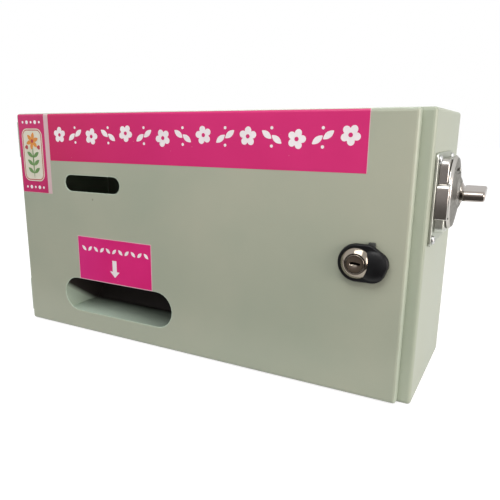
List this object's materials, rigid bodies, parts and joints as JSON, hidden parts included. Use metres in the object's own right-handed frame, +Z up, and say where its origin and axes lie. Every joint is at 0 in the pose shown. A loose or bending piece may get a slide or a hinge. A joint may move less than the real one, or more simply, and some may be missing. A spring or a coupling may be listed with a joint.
{
  "type": "sanitary napkin vending machine",
  "caption": "Wall-mounted steel dispenser with a coin-operated side handle, spiral coil feed, keyed pan door, sight slot and collect slot.",
  "frame": {"origin": "centre of the flat back face that lies against the wall", "axes": "+X to the right along the front, +Y into the wall, +Z up"},
  "size_m": [0.5029, 0.1605, 0.25],
  "materials": {
    "cabinet_paint": "grey-green powder coat, semi-gloss",
    "door_paint": "grey-green powder coat, semi-gloss",
    "zinc_plate": "bright zinc plate",
    "chrome": "polished die casting",
    "steel_wire": "drawn wire, zinc plated",
    "black_moulding": "black moulded plastic",
    "nickel": "satin nickel",
    "rubber": "black rubber"
  },
  "bodies": {
    "cabinet": {"cabinet_body": "cabinet_paint", "back_panel": "cabinet_paint", "door_buffer_upper": "rubber", "door_buffer_lower": "rubber", "hinge_body_upper": "cabinet_paint", "hinge_body_lower": "cabinet_paint", "hinge_pin_upper": "zinc_plate", "hinge_pin_lower": "zinc_plate", "product_tray": "cabinet_paint", "rear_guide": "cabinet_paint", "tray_rivet_1": "zinc_plate", "tray_rivet_2": "zinc_plate", "partition": "cabinet_paint", "drop_chute": "cabinet_paint", "coin_chute": "zinc_plate", "coin_box": "zinc_plate", "mech_base_plate": "chrome", "mech_housing": "chrome", "mech_disc": "chrome", "mech_inner_body": "zinc_plate", "mech_screw_1": "zinc_plate", "mech_screw_2": "zinc_plate", "mech_screw_3": "zinc_plate", "mech_screw_4": "zinc_plate", "mech_nut_1": "zinc_plate", "mech_nut_2": "zinc_plate", "mech_nut_3": "zinc_plate", "mech_nut_4": "zinc_plate"},
    "door": {"door_panel": "door_paint", "hinge_leaf_upper": "door_paint", "hinge_leaf_lower": "door_paint", "lock_base": "black_moulding", "lock_barrel": "zinc_plate", "lock_nut": "zinc_plate"},
    "feed": {"mech_handle": "chrome", "drive_spindle": "zinc_plate", "drive_nut": "zinc_plate", "coil_hub": "black_moulding", "spiral_coil": "steel_wire"},
    "thumb_turn": {"lock_thumb_turn": "black_moulding", "lock_cylinder": "chrome", "lock_cam": "zinc_plate", "cam_screw": "zinc_plate"},
    "key_plug": {"lock_plug": "nickel"}
  },
  "joints": [
    {"name": "door_swing", "type": "hinge", "parent": "cabinet", "child": "door", "pos_m": [-0.2333, -0.14265, 0], "axis": [0, 0, -1], "range_deg": [0, 110]},
    {"name": "handle_turn", "type": "hinge", "parent": "cabinet", "child": "feed", "pos_m": [0, -0.092, 0.0558], "axis": [-1, 0, 0], "range_deg": [0, 360]},
    {"name": "thumb_turn_turn", "type": "hinge", "parent": "door", "child": "thumb_turn", "pos_m": [0.1787, -0.15, -0.001], "axis": [0, -1, 0], "range_deg": [0, 90]},
    {"name": "key_turn", "type": "hinge", "parent": "thumb_turn", "child": "key_plug", "pos_m": [0.1787, -0.15, -0.001], "axis": [0, 1, 0], "range_deg": [0, 90]}
  ]
}
